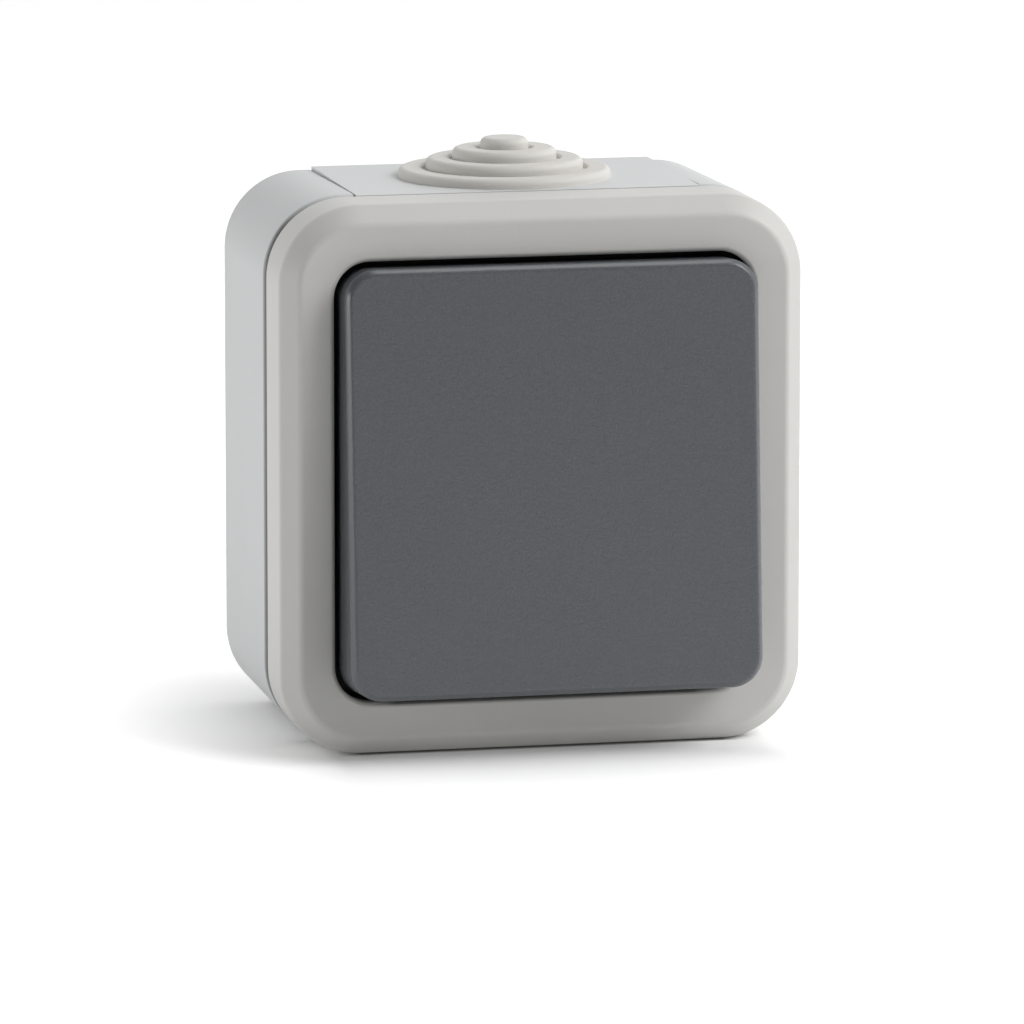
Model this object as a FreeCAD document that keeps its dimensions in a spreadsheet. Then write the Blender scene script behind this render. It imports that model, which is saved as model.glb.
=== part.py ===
import FreeCAD, Part
import math
import os
import re
import Sketcher

# Surface-mounted weatherproof rocker switch, in millimetres.
# X runs to the right, Z up and Y into the wall. The wall face of the box lies on Y = 0,
# so "depth" below means the distance in front of the wall, along -Y.

SIZES = {
    # Enclosure outline, shared by the box and the frame
    "frame_width": 66.6,
    "frame_height": 69.0,
    "corner_radius": 10.0,
    "fit": 0.2,
    # Back box
    "box_depth": 28.0,
    "box_wall": 2.2,
    "back_wall": 2.0,
    "side_draft": 0.9,
    "rim_round": 0.7,
    "tongue_height": 3.2,
    "tongue_wall": 0.8,
    "pillar_diameter": 7.0,
    "pillar_air": 1.0,
    "boss_side": 23.0,
    "wall_hole": 4.4,
    "wall_hole_side_edge": 11.3,
    "wall_hole_end_edge": 10.5,
    "collar_diameter": 8.4,
    "collar_rise": 1.6,
    "drain_diameter": 6.0,
    "drain_sink": 0.8,
    # Cable entry plate and its slide rails
    "entry_margin": 11.3,
    "entry_side": 0.4,
    "flange_reach": 2.2,
    "flange_wall": 1.5,
    "rail_wall": 1.4,
    # Stepped grommet
    "grommet_depth": 14.5,
    "grommet_neck": 20.0,
    "ring_base": 26.9,
    "ring_middle": 19.9,
    "ring_upper": 13.2,
    "ring_button": 6.1,
    "ring_step": 1.25,
    "ring_round": 0.8,
    "groove_width": 0.4,
    "groove_depth": 0.5,
    "membrane_wall": 1.0,
    # Front frame
    "seam_gap": 1.4,
    "frame_side": 9.6,
    "bevel": 2.2,
    "bevel_round": 1.1,
    "rear_round": 0.3,
    "gasket_height": 1.5,
    "gasket_skirt": 0.5,
    "border_side": 6.6,
    "border_end": 6.85,
    "opening_radius": 4.5,
    "opening_round": 0.6,
    "lip": 1.5,
    "tray_drop": 8.0,
    "tray_floor": 2.0,
    "tray_wall": 1.5,
    "window_width": 22.0,
    "window_height": 13.0,
    "window_radius": 2.0,
    # Splash seal
    "seal_wall": 0.8,
    "seal_lip": 1.4,
    # Rocker
    "gap_side": 0.5,
    "gap_end": 0.85,
    "rocker_side": 0.2,
    "rocker_radius": 3.9,
    "rocker_proud": 5.4,
    "rocker_skirt": 9.0,
    "rocker_wall": 2.0,
    "rocker_bevel": 0.6,
    "rocker_round": 0.3,
    "rocker_tilt": 4.1,
    "pivot_sink": 5.7,
    "hook_width": 10.0,
    "hook_wall": 1.4,
    "hook_barb": 0.6,
    # Rocker carrier
    "carrier_width": 13.8,
    "carrier_height": 18.0,
    "carrier_plate": 2.4,
    "trunnion": 3.2,
    "trunnion_length": 2.4,
    "arm_wall": 2.2,
    "tower": 7.0,
    "tower_length": 9.5,
    # Toggle plunger and spring
    "plunger": 4.4,
    "plunger_reach": 15.9,
    "plunger_length": 8.6,
    "nose_radius": 2.0,
    "running_fit": 0.06,
    "spring_wire": 0.5,
    "spring_turns": 6.0,
    # See-saw contact bridge
    "bridge_sink": 18.0,
    "bridge_tilt": 8.2,
    "bridge_air": 1.5,
    "bridge_wall": 1.2,
    "bridge_nose": 0.65,
    "bridge_lift": 0.75,
    "ear_wall": 0.8,
    "ear_drop": 1.6,
    "contact_edge": 2.0,
    "contact_head": 3.6,
    "contact_rise": 0.8,
    "contact_shank": 1.8,
    "contact_dome": 4.0,
    "contact_air": 0.05,
    # Terminals and clamps
    "strip_width": 5.0,
    "strip_wall": 1.0,
    "fulcrum_width": 5.6,
    "clamp_side": 12.5,
    "clamp_length": 6.0,
    "clamp_width": 7.0,
    "clamp_wall": 0.9,
    "clamp_room": 4.2,
    # Switch base and yoke
    "base_width": 36.0,
    "base_height": 33.0,
    "base_depth": 17.5,
    "base_radius": 1.5,
    "cavity_width": 11.0,
    "end_wall": 3.5,
    "wire_hole": 3.6,
    "yoke_depth": 25.5,
    "yoke_wall": 1.5,
    "ear_width": 53.0,
    "ear_height": 8.4,
    "cheek_wall": 2.3,
    "cheek_width": 9.0,
    "cheek_air": 0.3,
    "rivet_edge": 1.75,
    "rivet": 2.0,
    # Screws
    "screw": 2.5,
    "screw_head": 5.6,
    "screw_head_height": 1.8,
    "screw_slot": 0.9,
    "screw_length": 11.0,
    "clamp_screw": 3.0,
    "clamp_screw_head": 5.0,
    "clamp_screw_length": 3.6,
}

doc = FreeCAD.newDocument("weatherproof_switch")
sheet = doc.addObject("Spreadsheet::Sheet", "Sizes")
for row, (name, number) in enumerate(SIZES.items(), start=1):
    sheet.set("A%d" % row, name)
    sheet.set("B%d" % row, str(number))
    sheet.setAlias("B%d" % row, name)
doc.recompute()


def cells(expression):
    """Write an expression on the sheet's names as the document reads it."""
    return re.sub(r"[a-z]\w*", lambda word: "Sizes." + word[0] if word[0] in SIZES else word[0], expression)


def value(expression):
    """The number that an expression on the sheet gives now."""
    return float(sheet.evalExpression(cells(expression)))


def bind(thing, **expressions):
    """Bind properties to the sheet; a double underscore stands for the dot in a property path."""
    for path, expression in expressions.items():
        thing.setExpression(path.replace("__", "."), cells(expression))


# Places that several pieces share
seam = "box_depth"
frame_rear = "(box_depth + seam_gap)"
frame_front = "(box_depth + frame_side + bevel)"
lip_back = f"({frame_front} - lip)"
tray_front = f"({frame_front} - tray_drop)"
tray_back = f"({tray_front} - tray_floor)"
tongue_tip = "(box_depth + tongue_height)"
gasket_front = f"({tongue_tip} + gasket_height)"
top = "(frame_height / 2)"
opening_width = "(frame_width - 2 * border_side)"
opening_height = "(frame_height - 2 * border_end)"
entry_width = "(frame_width - 2 * entry_margin)"
wall_hole_side = "(frame_width / 2 - wall_hole_side_edge)"
wall_hole_height = "(frame_height / 2 - wall_hole_end_edge)"
pillar_height = "(base_height / 2 + pillar_air + pillar_diameter / 2)"
rivet_height = "(base_height / 2 - rivet_edge)"
cavity_height = "(base_height - 2 * end_wall)"
bridge_length = f"({cavity_height} - 2 * bridge_air)"
contact_arm = f"({bridge_length} / 2 - contact_edge)"
face_depth = f"({frame_front} + rocker_proud)"
pivot_depth = f"({face_depth} - pivot_sink)"
fulcrum_depth = f"({pivot_depth} - bridge_sink)"
strip_seat = (f"({fulcrum_depth} - {contact_arm} * sin(bridge_tilt) + bridge_lift * cos(bridge_tilt)"
              " - (2 * contact_rise + strip_wall) * cos(bridge_tilt) - contact_air)")
fixed_height = (f"({contact_arm} * cos(bridge_tilt) - (contact_rise - bridge_lift) * sin(bridge_tilt)"
                " - (contact_dome + contact_air) * sin(bridge_tilt))")
yoke_front = "(yoke_depth + yoke_wall)"
clamp_spots = [("clamp_side", fixed_height), ("clamp_side", f"-{fixed_height}"), ("-clamp_side", "0")]


def enclosure(inset):
    """Width, height and corner radius of the enclosure outline moved inwards."""
    return (f"frame_width - 2 * ({inset})", f"frame_height - 2 * ({inset})", f"corner_radius - ({inset})")


def opening(outset):
    """Width, height and corner radius of the rocker opening moved outwards."""
    return (f"{opening_width} + 2 * ({outset})", f"{opening_height} + 2 * ({outset})",
            f"opening_radius + ({outset})")


box_inside = enclosure("box_wall")
tongue_outside = enclosure("box_wall - tongue_wall")
gasket_outside = enclosure("box_wall - tongue_wall - gasket_skirt")
rebate = enclosure("box_wall - tongue_wall - gasket_skirt - fit / 2")
seal_pocket = opening("seal_wall")
tray_outside = opening("seal_wall + tray_wall")


# Building steps

def new_body(label):
    body = doc.addObject("PartDesign::Body", label)
    body.Label = label
    return body


def origin_plane(body, name):
    return next(item for item in body.Origin.OriginFeatures if item.Role == name + "_Plane")


def new_sketch(body, plane="XZ", across="0", up="0", out="0"):
    """A sketch on a plane of the body's origin, moved across, up and out of that plane.

    On the XZ plane "out" is the depth in front of the wall.
    """
    sketch = body.newObject("Sketcher::SketchObject", body.Label + "_sketch")
    sketch.AttachmentSupport = [(origin_plane(body, plane), "")]
    sketch.MapMode = "FlatFace"
    bind(sketch, AttachmentOffset__Base__x=across, AttachmentOffset__Base__y=up,
         AttachmentOffset__Base__z=out)
    return sketch


def constrain(sketch, kind, *where, size=None):
    if size is None:
        return sketch.addConstraint(Sketcher.Constraint(kind, *where))
    index = sketch.addConstraint(Sketcher.Constraint(kind, *where, value(size)))
    sketch.setExpression("Constraints[%d]" % index, cells(size))
    return index


def rectangle(sketch, width, height, radius=None):
    """A rectangle round the sketch's centre, with rounded corners where a radius is given."""
    half_width = value(width) / 2
    half_height = value(height) / 2
    bend = value(radius) if radius else 0.0
    sides = []
    arcs = []
    for quarter in range(4):
        turn = FreeCAD.Rotation(FreeCAD.Vector(0, 0, 1), 90 * quarter)
        reach, half = (half_width, half_height) if quarter % 2 == 0 else (half_height, half_width)
        start = turn.multVec(FreeCAD.Vector(reach, bend - half, 0))
        end = turn.multVec(FreeCAD.Vector(reach, half - bend, 0))
        sides.append(sketch.addGeometry(Part.LineSegment(start, end)))
        if radius:
            centre = turn.multVec(FreeCAD.Vector(reach - bend, half - bend, 0))
            circle = Part.Circle(centre, FreeCAD.Vector(0, 0, 1), bend)
            first = math.radians(90 * quarter)
            arcs.append(sketch.addGeometry(Part.ArcOfCircle(circle, first, first + math.pi / 2)))
    for quarter in range(4):
        following = sides[(quarter + 1) % 4]
        if radius:
            constrain(sketch, "Tangent", sides[quarter], 2, arcs[quarter], 1)
            constrain(sketch, "Tangent", arcs[quarter], 2, following, 1)
        else:
            constrain(sketch, "Coincident", sides[quarter], 2, following, 1)
        constrain(sketch, "Horizontal" if quarter % 2 else "Vertical", sides[quarter])
    if radius:
        for arc in arcs[1:]:
            constrain(sketch, "Equal", arcs[0], arc)
        constrain(sketch, "Radius", arcs[0], size=radius)
    right, upper, left, lower = sides
    constrain(sketch, "DistanceX", -1, 1, right, 1, size=f"({width}) / 2")
    constrain(sketch, "DistanceX", left, 1, -1, 1, size=f"({width}) / 2")
    constrain(sketch, "DistanceY", -1, 1, upper, 1, size=f"({height}) / 2")
    constrain(sketch, "DistanceY", lower, 1, -1, 1, size=f"({height}) / 2")
    return sketch


def circle(sketch, diameter):
    """A circle round the sketch's centre."""
    round_edge = sketch.addGeometry(Part.Circle(FreeCAD.Vector(0, 0, 0), FreeCAD.Vector(0, 0, 1),
                                                value(diameter) / 2))
    constrain(sketch, "Coincident", round_edge, 3, -1, 1)
    constrain(sketch, "Diameter", round_edge, size=diameter)
    return sketch


HALF_TURN = "half turn"


def profile(sketch, corners):
    """A closed outline through corners (x, y) or (x, y, radius).

    A radius makes the stretch that ends at that corner an arc that bulges to the right of its way.
    The radius HALF_TURN makes it half a circle on an upright chord.
    """
    points = [FreeCAD.Vector(value(corner[0]), value(corner[1]), 0) for corner in corners]
    edges = []
    for index, corner in enumerate(corners):
        start = points[index - 1]
        end = points[index]
        if len(corner) == 3:
            chord = end - start
            radius = chord.Length / 2 if corner[2] == HALF_TURN else value(corner[2])
            rise = math.sqrt(max(radius ** 2 - (chord.Length / 2) ** 2, 0.0))
            left_side = FreeCAD.Vector(-chord.y, chord.x, 0).normalize()
            centre = (start + end) / 2 + left_side * rise
            middle = centre - left_side * radius
            edges.append(sketch.addGeometry(Part.Arc(start, middle, end)))
        else:
            edges.append(sketch.addGeometry(Part.LineSegment(start, end)))
    for index, corner in enumerate(corners):
        edge = edges[index]
        following = edges[(index + 1) % len(edges)]
        constrain(sketch, "Coincident", edge, 2, following, 1)
        for kind, axis, size in (("DistanceX", -2, corner[0]), ("DistanceY", -1, corner[1])):
            if size == "0":
                constrain(sketch, "PointOnObject", edge, 2, axis)
            else:
                constrain(sketch, kind, -1, 1, edge, 2, size=size)
        if len(corner) == 3 and corner[2] == HALF_TURN:
            constrain(sketch, "Vertical", edge, 3, edge, 2)
        elif len(corner) == 3:
            constrain(sketch, "Radius", edge, size=corner[2])
    return sketch


def feature(body, kind, sketch, length, backwards, taper):
    step = body.newObject("PartDesign::" + kind, body.Label + "_" + kind.lower())
    step.Profile = sketch
    step.Reversed = backwards
    bind(step, Length=length)
    if taper:
        bind(step, TaperAngle=taper)
    doc.recompute()
    return step


def pad(body, sketch, length, backwards=False, taper=None):
    """Add material out of the sketch plane, or behind it."""
    return feature(body, "Pad", sketch, length, backwards, taper)


def pocket(body, sketch, length, forwards=False):
    """Cut material behind the sketch plane, or in front of it."""
    return feature(body, "Pocket", sketch, length, forwards, None)


def revolve(body, sketch):
    """Turn a profile fully round the sketch's upright axis."""
    step = body.newObject("PartDesign::Revolution", body.Label + "_revolution")
    step.Profile = sketch
    step.ReferenceAxis = (sketch, ["V_Axis"])
    step.Angle = 360
    doc.recompute()
    return step


def mirror(body, steps, plane):
    step = body.newObject("PartDesign::Mirrored", body.Label + "_mirrored")
    step.Originals = steps
    step.MirrorPlane = (origin_plane(body, plane), [""])
    body.Tip = step
    doc.recompute()
    return step


def soften(body, kind, size, wanted):
    """Round or bevel the edges of the body so far whose vertices all pass a test."""
    base = body.Tip
    names = ["Edge%d" % number for number, edge in enumerate(base.Shape.Edges, start=1)
             if all(wanted(vertex.Point) for vertex in edge.Vertexes)]
    step = body.newObject("PartDesign::" + kind, body.Label + "_" + kind.lower())
    step.Base = (base, names)
    bind(step, **{"Radius" if kind == "Fillet" else "Size": size})
    doc.recompute()
    return step


def at_depth(*depths):
    levels = [value(depth) for depth in depths]
    return lambda point: any(abs(point.y + level) < 1e-4 for level in levels)


def hang_on_pivot(body):
    """Seat a piece drawn round the rocker's pivot, tilted as it rests."""
    body.Placement.Rotation = FreeCAD.Rotation(FreeCAD.Vector(1, 0, 0), 1)
    bind(body, Placement__Base__y=f"-{pivot_depth}", Placement__Rotation__Angle="-rocker_tilt")


def hang_on_fulcrum(body):
    """Seat a piece drawn round the fulcrum of the see-saw, tilted as it rests."""
    body.Placement.Rotation = FreeCAD.Rotation(FreeCAD.Vector(1, 0, 0), 1)
    bind(body, Placement__Base__y=f"-{fulcrum_depth}", Placement__Rotation__Angle="bridge_tilt")


def group(label, bodies):
    compound = doc.addObject("Part::Compound", label)
    compound.Label = label
    compound.Links = bodies
    return compound


# Back box: drafted shell with a rim tongue, screw pillars and wall holes

def make_back_box():
    body = new_body("back_box")
    outline = rectangle(new_sketch(body, out=seam), *enclosure("0"))
    pad(body, outline, "box_depth", backwards=True, taper="-side_draft")
    soften(body, "Fillet", "rim_round", at_depth(seam))
    inside = rectangle(new_sketch(body, out=seam), *box_inside)
    pocket(body, inside, "box_depth - back_wall")

    tongue = new_sketch(body, out=seam)
    rectangle(tongue, *tongue_outside)
    rectangle(tongue, *box_inside)
    pad(body, tongue, "tongue_height")

    # Pillars for the frame, above and below the mechanism, and bosses for the mechanism at its sides
    for across, up, front, plane in (("0", pillar_height, tray_back, "XY"),
                                     ("boss_side", "0", "yoke_depth", "YZ")):
        post = circle(new_sketch(body, across=across, up=up, out="back_wall / 2"), "pillar_diameter")
        post = pad(body, post, f"{front} - back_wall / 2")
        thread = circle(new_sketch(body, across=across, up=up, out=front), "screw + running_fit")
        thread = pocket(body, thread, "screw_length")
        mirror(body, [post, thread], plane)

    # Wall screw holes in sealing collars
    for across in (wall_hole_side, "-" + wall_hole_side):
        collar = new_sketch(body, across=across, up=wall_hole_height, out="back_wall / 2")
        collar = pad(body, circle(collar, "collar_diameter"), "back_wall / 2 + collar_rise")
        hole = new_sketch(body, across=across, up=wall_hole_height, out="back_wall + collar_rise")
        hole = pocket(body, circle(hole, "wall_hole"), "back_wall + collar_rise + 1")
        mirror(body, [collar, hole], "XY")

    # Rails that the entry plate slides in, then the slot for the plate through the top wall
    rail_drop = "(flange_wall + 2 * fit + rail_wall)"
    flange_edge = f"({entry_width} / 2 + flange_reach + fit)"
    for side in ("", "-"):
        rail_middle = f"{flange_edge} + (rail_wall - flange_reach - fit) / 2"
        rail = new_sketch(body, across=f"entry_side + {side}({rail_middle})",
                          up=f"{top} - box_wall - {rail_drop} / 2 + 0.1", out="back_wall")
        rectangle(rail, "flange_reach + rail_wall - fit", f"{rail_drop} + 0.2")
        pad(body, rail, "box_depth - back_wall")
    groove = new_sketch(body, across="entry_side", up=f"{top} - box_wall - flange_wall / 2 - fit", out=seam)
    pocket(body, rectangle(groove, f"2 * {flange_edge}", "flange_wall + 2 * fit"), "box_depth - back_wall")
    slot = new_sketch(body, across="entry_side", up=top, out=tongue_tip)
    rectangle(slot, f"{entry_width} + 2 * fit", "2 * box_wall")
    pocket(body, slot, f"{tongue_tip} + 1")

    # Drain mark to be knocked through when the switch hangs upright
    drain = new_sketch(body, "XY", up="-box_depth / 2", out=f"-{top} - 0.1")
    pocket(body, circle(drain, "drain_diameter"), "drain_sink + 0.1 + box_depth / 2 * tan(side_draft)",
           forwards=True)
    return body


# Cable entry plate: slides in from the front, flush with the top of the frame

def make_cable_entry_plate():
    body = new_body("cable_entry_plate")
    flange_top = f"({top} - box_wall - fit)"
    plate = new_sketch(body, across="entry_side", up=f"{top} - (box_wall - fit) / 2", out="fit")
    pad(body, rectangle(plate, entry_width, "box_wall - fit"), "box_depth + seam_gap - 3 * fit")
    neck = new_sketch(body, across="entry_side", up=f"{top} - box_wall", out="back_wall + fit")
    pad(body, rectangle(neck, entry_width, "2 * fit + 0.4"), "box_depth - back_wall - fit")
    flange = new_sketch(body, across="entry_side", up=f"{flange_top} - flange_wall / 2",
                        out="back_wall + fit")
    pad(body, rectangle(flange, f"{entry_width} + 2 * flange_reach", "flange_wall"),
        "box_depth - back_wall - fit")
    tongue = new_sketch(body, across="entry_side", up=f"{top} - box_wall + tongue_wall / 2",
                        out="box_depth - 1")
    pad(body, rectangle(tongue, entry_width, "tongue_wall"), "tongue_height + 1")
    hole = new_sketch(body, "XY", across="entry_side", up="-grommet_depth", out=f"{top} + 1")
    pocket(body, circle(hole, "grommet_neck + 2 * fit"), "box_wall + flange_wall + fit + 2")
    return body


# Cable grommet: rounded rings that step up to a closed button, held by a groove in its neck

def make_cable_grommet():
    body = new_body("cable_grommet")
    rings = ["ring_base", "ring_middle", "ring_upper", "ring_button"]
    grip = "(box_wall + flange_wall + fit)"
    foot = f"({grip} + membrane_wall)"
    corners = [("grommet_neck / 2", "0"), ("ring_base / 2", "0")]
    for step, (ring, inner_ring) in enumerate(zip(rings, rings[1:] + [None]), start=1):
        crest = f"{step} * ring_step"
        corners.append((f"{ring} / 2", f"{crest} - ring_round"))
        corners.append((f"{ring} / 2 - ring_round", crest, "ring_round"))
        if inner_ring:
            # Each bead ends in a narrow groove round the foot of the next ring
            corners.append((f"{inner_ring} / 2 + groove_width + groove_depth", crest))
            corners.append((f"{inner_ring} / 2 + groove_width", f"{crest} - groove_depth", "groove_depth"))
            corners.append((f"{inner_ring} / 2", f"{crest} - groove_depth"))
    corners.append(("0", f"{len(rings)} * ring_step"))
    corners.append(("0", f"{len(rings)} * ring_step - membrane_wall"))
    for step, ring in reversed(list(enumerate(rings))[2:]):
        corners.append((f"{ring} / 2 - membrane_wall", f"{step + 1} * ring_step - membrane_wall"))
        corners.append((f"{ring} / 2 - membrane_wall", f"{step} * ring_step - membrane_wall"))
    bore = "grommet_neck / 2 - 1.2 * membrane_wall"
    corners.append((bore, "2 * ring_step - membrane_wall"))
    corners.append((bore, f"-{foot}"))
    corners.append(("grommet_neck / 2 + 0.4 * membrane_wall", f"-{foot}"))
    corners.append(("grommet_neck / 2 + 1.2 * membrane_wall", f"-{grip}"))
    corners.append(("grommet_neck / 2", f"-{grip}"))
    revolve(body, profile(new_sketch(body), corners))
    bind(body, Placement__Base__x="entry_side", Placement__Base__y="-grommet_depth", Placement__Base__z=top)
    return body


# Rim gasket: rubber ring on the tip of the tongue, with a skirt round the tongue that shows dark in the seam

def make_rim_gasket():
    body = new_body("rim_gasket")
    ring = new_sketch(body, out=tongue_tip)
    rectangle(ring, *gasket_outside)
    rectangle(ring, *box_inside)
    pad(body, ring, "gasket_height")
    skirt = new_sketch(body, out=f"{frame_rear} - 2 * fit")
    rectangle(skirt, *gasket_outside)
    rectangle(skirt, *tongue_outside)
    pad(body, skirt, f"{tongue_tip} + gasket_height / 2 - ({frame_rear} - 2 * fit)")
    return body


# Front frame: bevelled bezel with a recessed tray, hollow between the outer skirt and the tray

def make_front_frame():
    body = new_body("front_frame")
    outline = rectangle(new_sketch(body, out=frame_rear), *enclosure("0"))
    pad(body, outline, f"{frame_front} - {frame_rear}")
    soften(body, "Fillet", "rear_round", at_depth(frame_rear))
    soften(body, "Chamfer", "bevel", at_depth(frame_front))
    soften(body, "Fillet", "bevel_round", at_depth(frame_front, f"{frame_front} - bevel"))

    pocket(body, rectangle(new_sketch(body, out=frame_front), *opening("0")), "lip")
    half_width = value(opening_width) / 2 + 0.01
    half_height = value(opening_height) / 2 + 0.01
    on_front = at_depth(frame_front)
    soften(body, "Fillet", "opening_round",
           lambda point: on_front(point) and abs(point.x) < half_width and abs(point.z) < half_height)
    pocket(body, rectangle(new_sketch(body, out=lip_back), *seal_pocket), f"{lip_back} - {tray_front}")

    # Rear: clear the tray floor, then a rebate for tongue and gasket, then the hollow skirt
    pocket(body, rectangle(new_sketch(body, out=frame_rear), *rebate), f"{tray_back} - {frame_rear}",
           forwards=True)
    for outside, front in ((rebate, gasket_front), (box_inside, f"({frame_front} - bevel)")):
        hollow = new_sketch(body, out=tray_back)
        rectangle(hollow, *outside)
        rectangle(hollow, *tray_outside)
        pocket(body, hollow, f"{front} - {tray_back}", forwards=True)

    window = rectangle(new_sketch(body, out=tray_front), "window_width", "window_height", "window_radius")
    pocket(body, window, "tray_floor + 1")
    hole = circle(new_sketch(body, up=pillar_height, out=tray_front), "screw + 2 * fit")
    mirror(body, [pocket(body, hole, "tray_floor + 1")], "XY")
    return body


# Splash seal: rubber tray that lines the frame under the rocker

def make_splash_seal():
    body = new_body("splash_seal")
    outside = opening("seal_wall - fit / 2")
    pad(body, rectangle(new_sketch(body, out=tray_front), *outside), "seal_wall")
    upstand = new_sketch(body, out=tray_front)
    rectangle(upstand, *outside)
    rectangle(upstand, *opening("0"))
    pad(body, upstand, f"{lip_back} - {tray_front}")
    collar = rectangle(new_sketch(body, out=tray_front), "window_width + 2 * seal_wall",
                       "window_height + 2 * seal_wall", "window_radius + seal_wall")
    pad(body, collar, "seal_wall + seal_lip")
    window = rectangle(new_sketch(body, out=f"{tray_front} + seal_wall + seal_lip"), "window_width",
                       "window_height", "window_radius")
    pocket(body, window, "2 * seal_wall + seal_lip")
    hole = circle(new_sketch(body, up=pillar_height, out=f"{tray_front} + seal_wall"), "screw_head + 2 * fit")
    mirror(body, [pocket(body, hole, "2 * seal_wall")], "XY")
    return body


# Rocker: hollow cap drawn round its pivot, with two hooks that clip over the carrier

carrier_front = "(pivot_sink - rocker_wall)"
carrier_back = f"({carrier_front} - carrier_plate)"


def make_rocker():
    body = new_body("rocker")
    width = f"{opening_width} - 2 * gap_side"
    height = f"{opening_height} - 2 * gap_end"
    rear = "(pivot_sink - rocker_skirt)"
    cap = new_sketch(body, across="rocker_side", out=rear)
    pad(body, rectangle(cap, width, height, "rocker_radius"), "rocker_skirt")
    soften(body, "Chamfer", "rocker_bevel", at_depth("pivot_sink"))
    soften(body, "Fillet", "rocker_round", at_depth("pivot_sink", "pivot_sink - rocker_bevel"))
    hollow = new_sketch(body, across="rocker_side", out=rear)
    rectangle(hollow, f"{width} - 2 * rocker_wall", f"{height} - 2 * rocker_wall",
              "rocker_radius - rocker_wall")
    pocket(body, hollow, "rocker_skirt - rocker_wall", forwards=True)

    hook_foot = "(carrier_height / 2 + fit / 2)"
    hook = new_sketch(body, up=f"{hook_foot} + hook_wall / 2", out=f"{carrier_front} + 0.5")
    hook = pad(body, rectangle(hook, "hook_width", "hook_wall"), "carrier_plate + 0.5 + 2 * hook_barb",
               backwards=True)
    barb = new_sketch(body, up=f"{hook_foot} + (hook_wall - hook_barb) / 2", out=f"{carrier_back} - fit / 2")
    barb = pad(body, rectangle(barb, "hook_width", "hook_wall + hook_barb"), "2 * hook_barb - fit / 2",
               backwards=True)
    mirror(body, [hook, barb], "XY")
    hang_on_pivot(body)
    return body


# Rocker carrier: plate under the rocker, arms with trunnions and a tower that guides the plunger

def make_rocker_carrier():
    body = new_body("rocker_carrier")
    pad(body, rectangle(new_sketch(body, out=carrier_back), "carrier_width", "carrier_height", "base_radius"),
        "carrier_plate")
    tower = circle(new_sketch(body, out=carrier_back), "tower")
    pad(body, tower, "tower_length", backwards=True)
    arm = new_sketch(body, "YZ", out="carrier_width / 2 - arm_wall")
    arm_top = f"-({carrier_back} + carrier_plate / 2)"
    corners = [(arm_top, "-trunnion"), ("0", "-trunnion"), ("0", "trunnion", HALF_TURN),
               (arm_top, "trunnion")]
    arm = pad(body, profile(arm, corners), "arm_wall")
    pin = circle(new_sketch(body, "YZ", out="carrier_width / 2 - arm_wall / 2"), "trunnion")
    pin = pad(body, pin, "arm_wall / 2 + trunnion_length")
    mirror(body, [arm, pin], "YZ")
    bore = circle(new_sketch(body, out=f"{carrier_back} - tower_length"), "plunger + 2 * running_fit")
    pocket(body, bore, "tower_length", forwards=True)
    hang_on_pivot(body)
    return body


# Toggle plunger: round pin with a spherical nose that rides over the see-saw

plunger_top = "(plunger_reach - plunger_length)"


def make_toggle_plunger():
    body = new_body("toggle_plunger")
    shoulder = "(plunger_reach - nose_radius)"
    corners = [("0", plunger_top), ("plunger / 2", plunger_top), ("plunger / 2", shoulder),
               ("nose_radius", shoulder), ("0", "plunger_reach", "nose_radius")]
    revolve(body, profile(new_sketch(body, "XY"), corners))
    hang_on_pivot(body)
    return body


# Toggle spring: open coil between the plunger and the bottom of its bore

def make_toggle_spring():
    coil = doc.addObject("Part::Helix", "toggle_spring_coil")
    bind(coil, Radius="plunger / 2 - spring_wire",
         Height=f"{plunger_top} + {carrier_back} - spring_wire - fit",
         Pitch=f"({plunger_top} + {carrier_back} - spring_wire - fit) / spring_turns")
    wire = doc.addObject("Part::Circle", "toggle_spring_wire")
    bind(wire, Radius="spring_wire / 2", Placement__Base__x="plunger / 2 - spring_wire")
    wire.Placement.Rotation = FreeCAD.Rotation(FreeCAD.Vector(1, 0, 0), 90)
    spring = doc.addObject("Part::Sweep", "toggle_spring")
    spring.Label = "toggle_spring"
    spring.Sections = [wire]
    spring.Spine = (coil, [])
    spring.Solid = True
    spring.Frenet = True
    spring.Placement.Rotation = FreeCAD.Rotation(FreeCAD.Vector(1, 0, 0), 90)
    turn = "(90 - rocker_tilt)"
    start = f"({plunger_top} - (spring_wire + fit) / 2)"
    bind(spring, Placement__Rotation__Angle=turn,
         Placement__Base__y=f"{start} * cos(rocker_tilt) - {pivot_depth}",
         Placement__Base__z=f"-{start} * sin(rocker_tilt)")
    return spring


# Contact bridge: see-saw strip with ears that straddle the fulcrum

def make_contact_bridge():
    body = new_body("contact_bridge")
    width = "fulcrum_width + 2 * (ear_wall + fit)"
    strip = rectangle(new_sketch(body, out="bridge_lift"), width, bridge_length, "base_radius")
    pad(body, strip, "bridge_wall")
    ear = new_sketch(body, across="(fulcrum_width + ear_wall) / 2 + fit", out="bridge_lift + bridge_wall / 2")
    ear = pad(body, rectangle(ear, "ear_wall", "4 * ear_wall"), "bridge_wall / 2 + ear_drop", backwards=True)
    mirror(body, [ear], "YZ")
    hole = circle(new_sketch(body, up=contact_arm, out="bridge_lift + bridge_wall"),
                  "contact_shank + fit / 2")
    mirror(body, [pocket(body, hole, "bridge_wall + 0.5")], "XY")
    hang_on_fulcrum(body)
    return body


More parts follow.
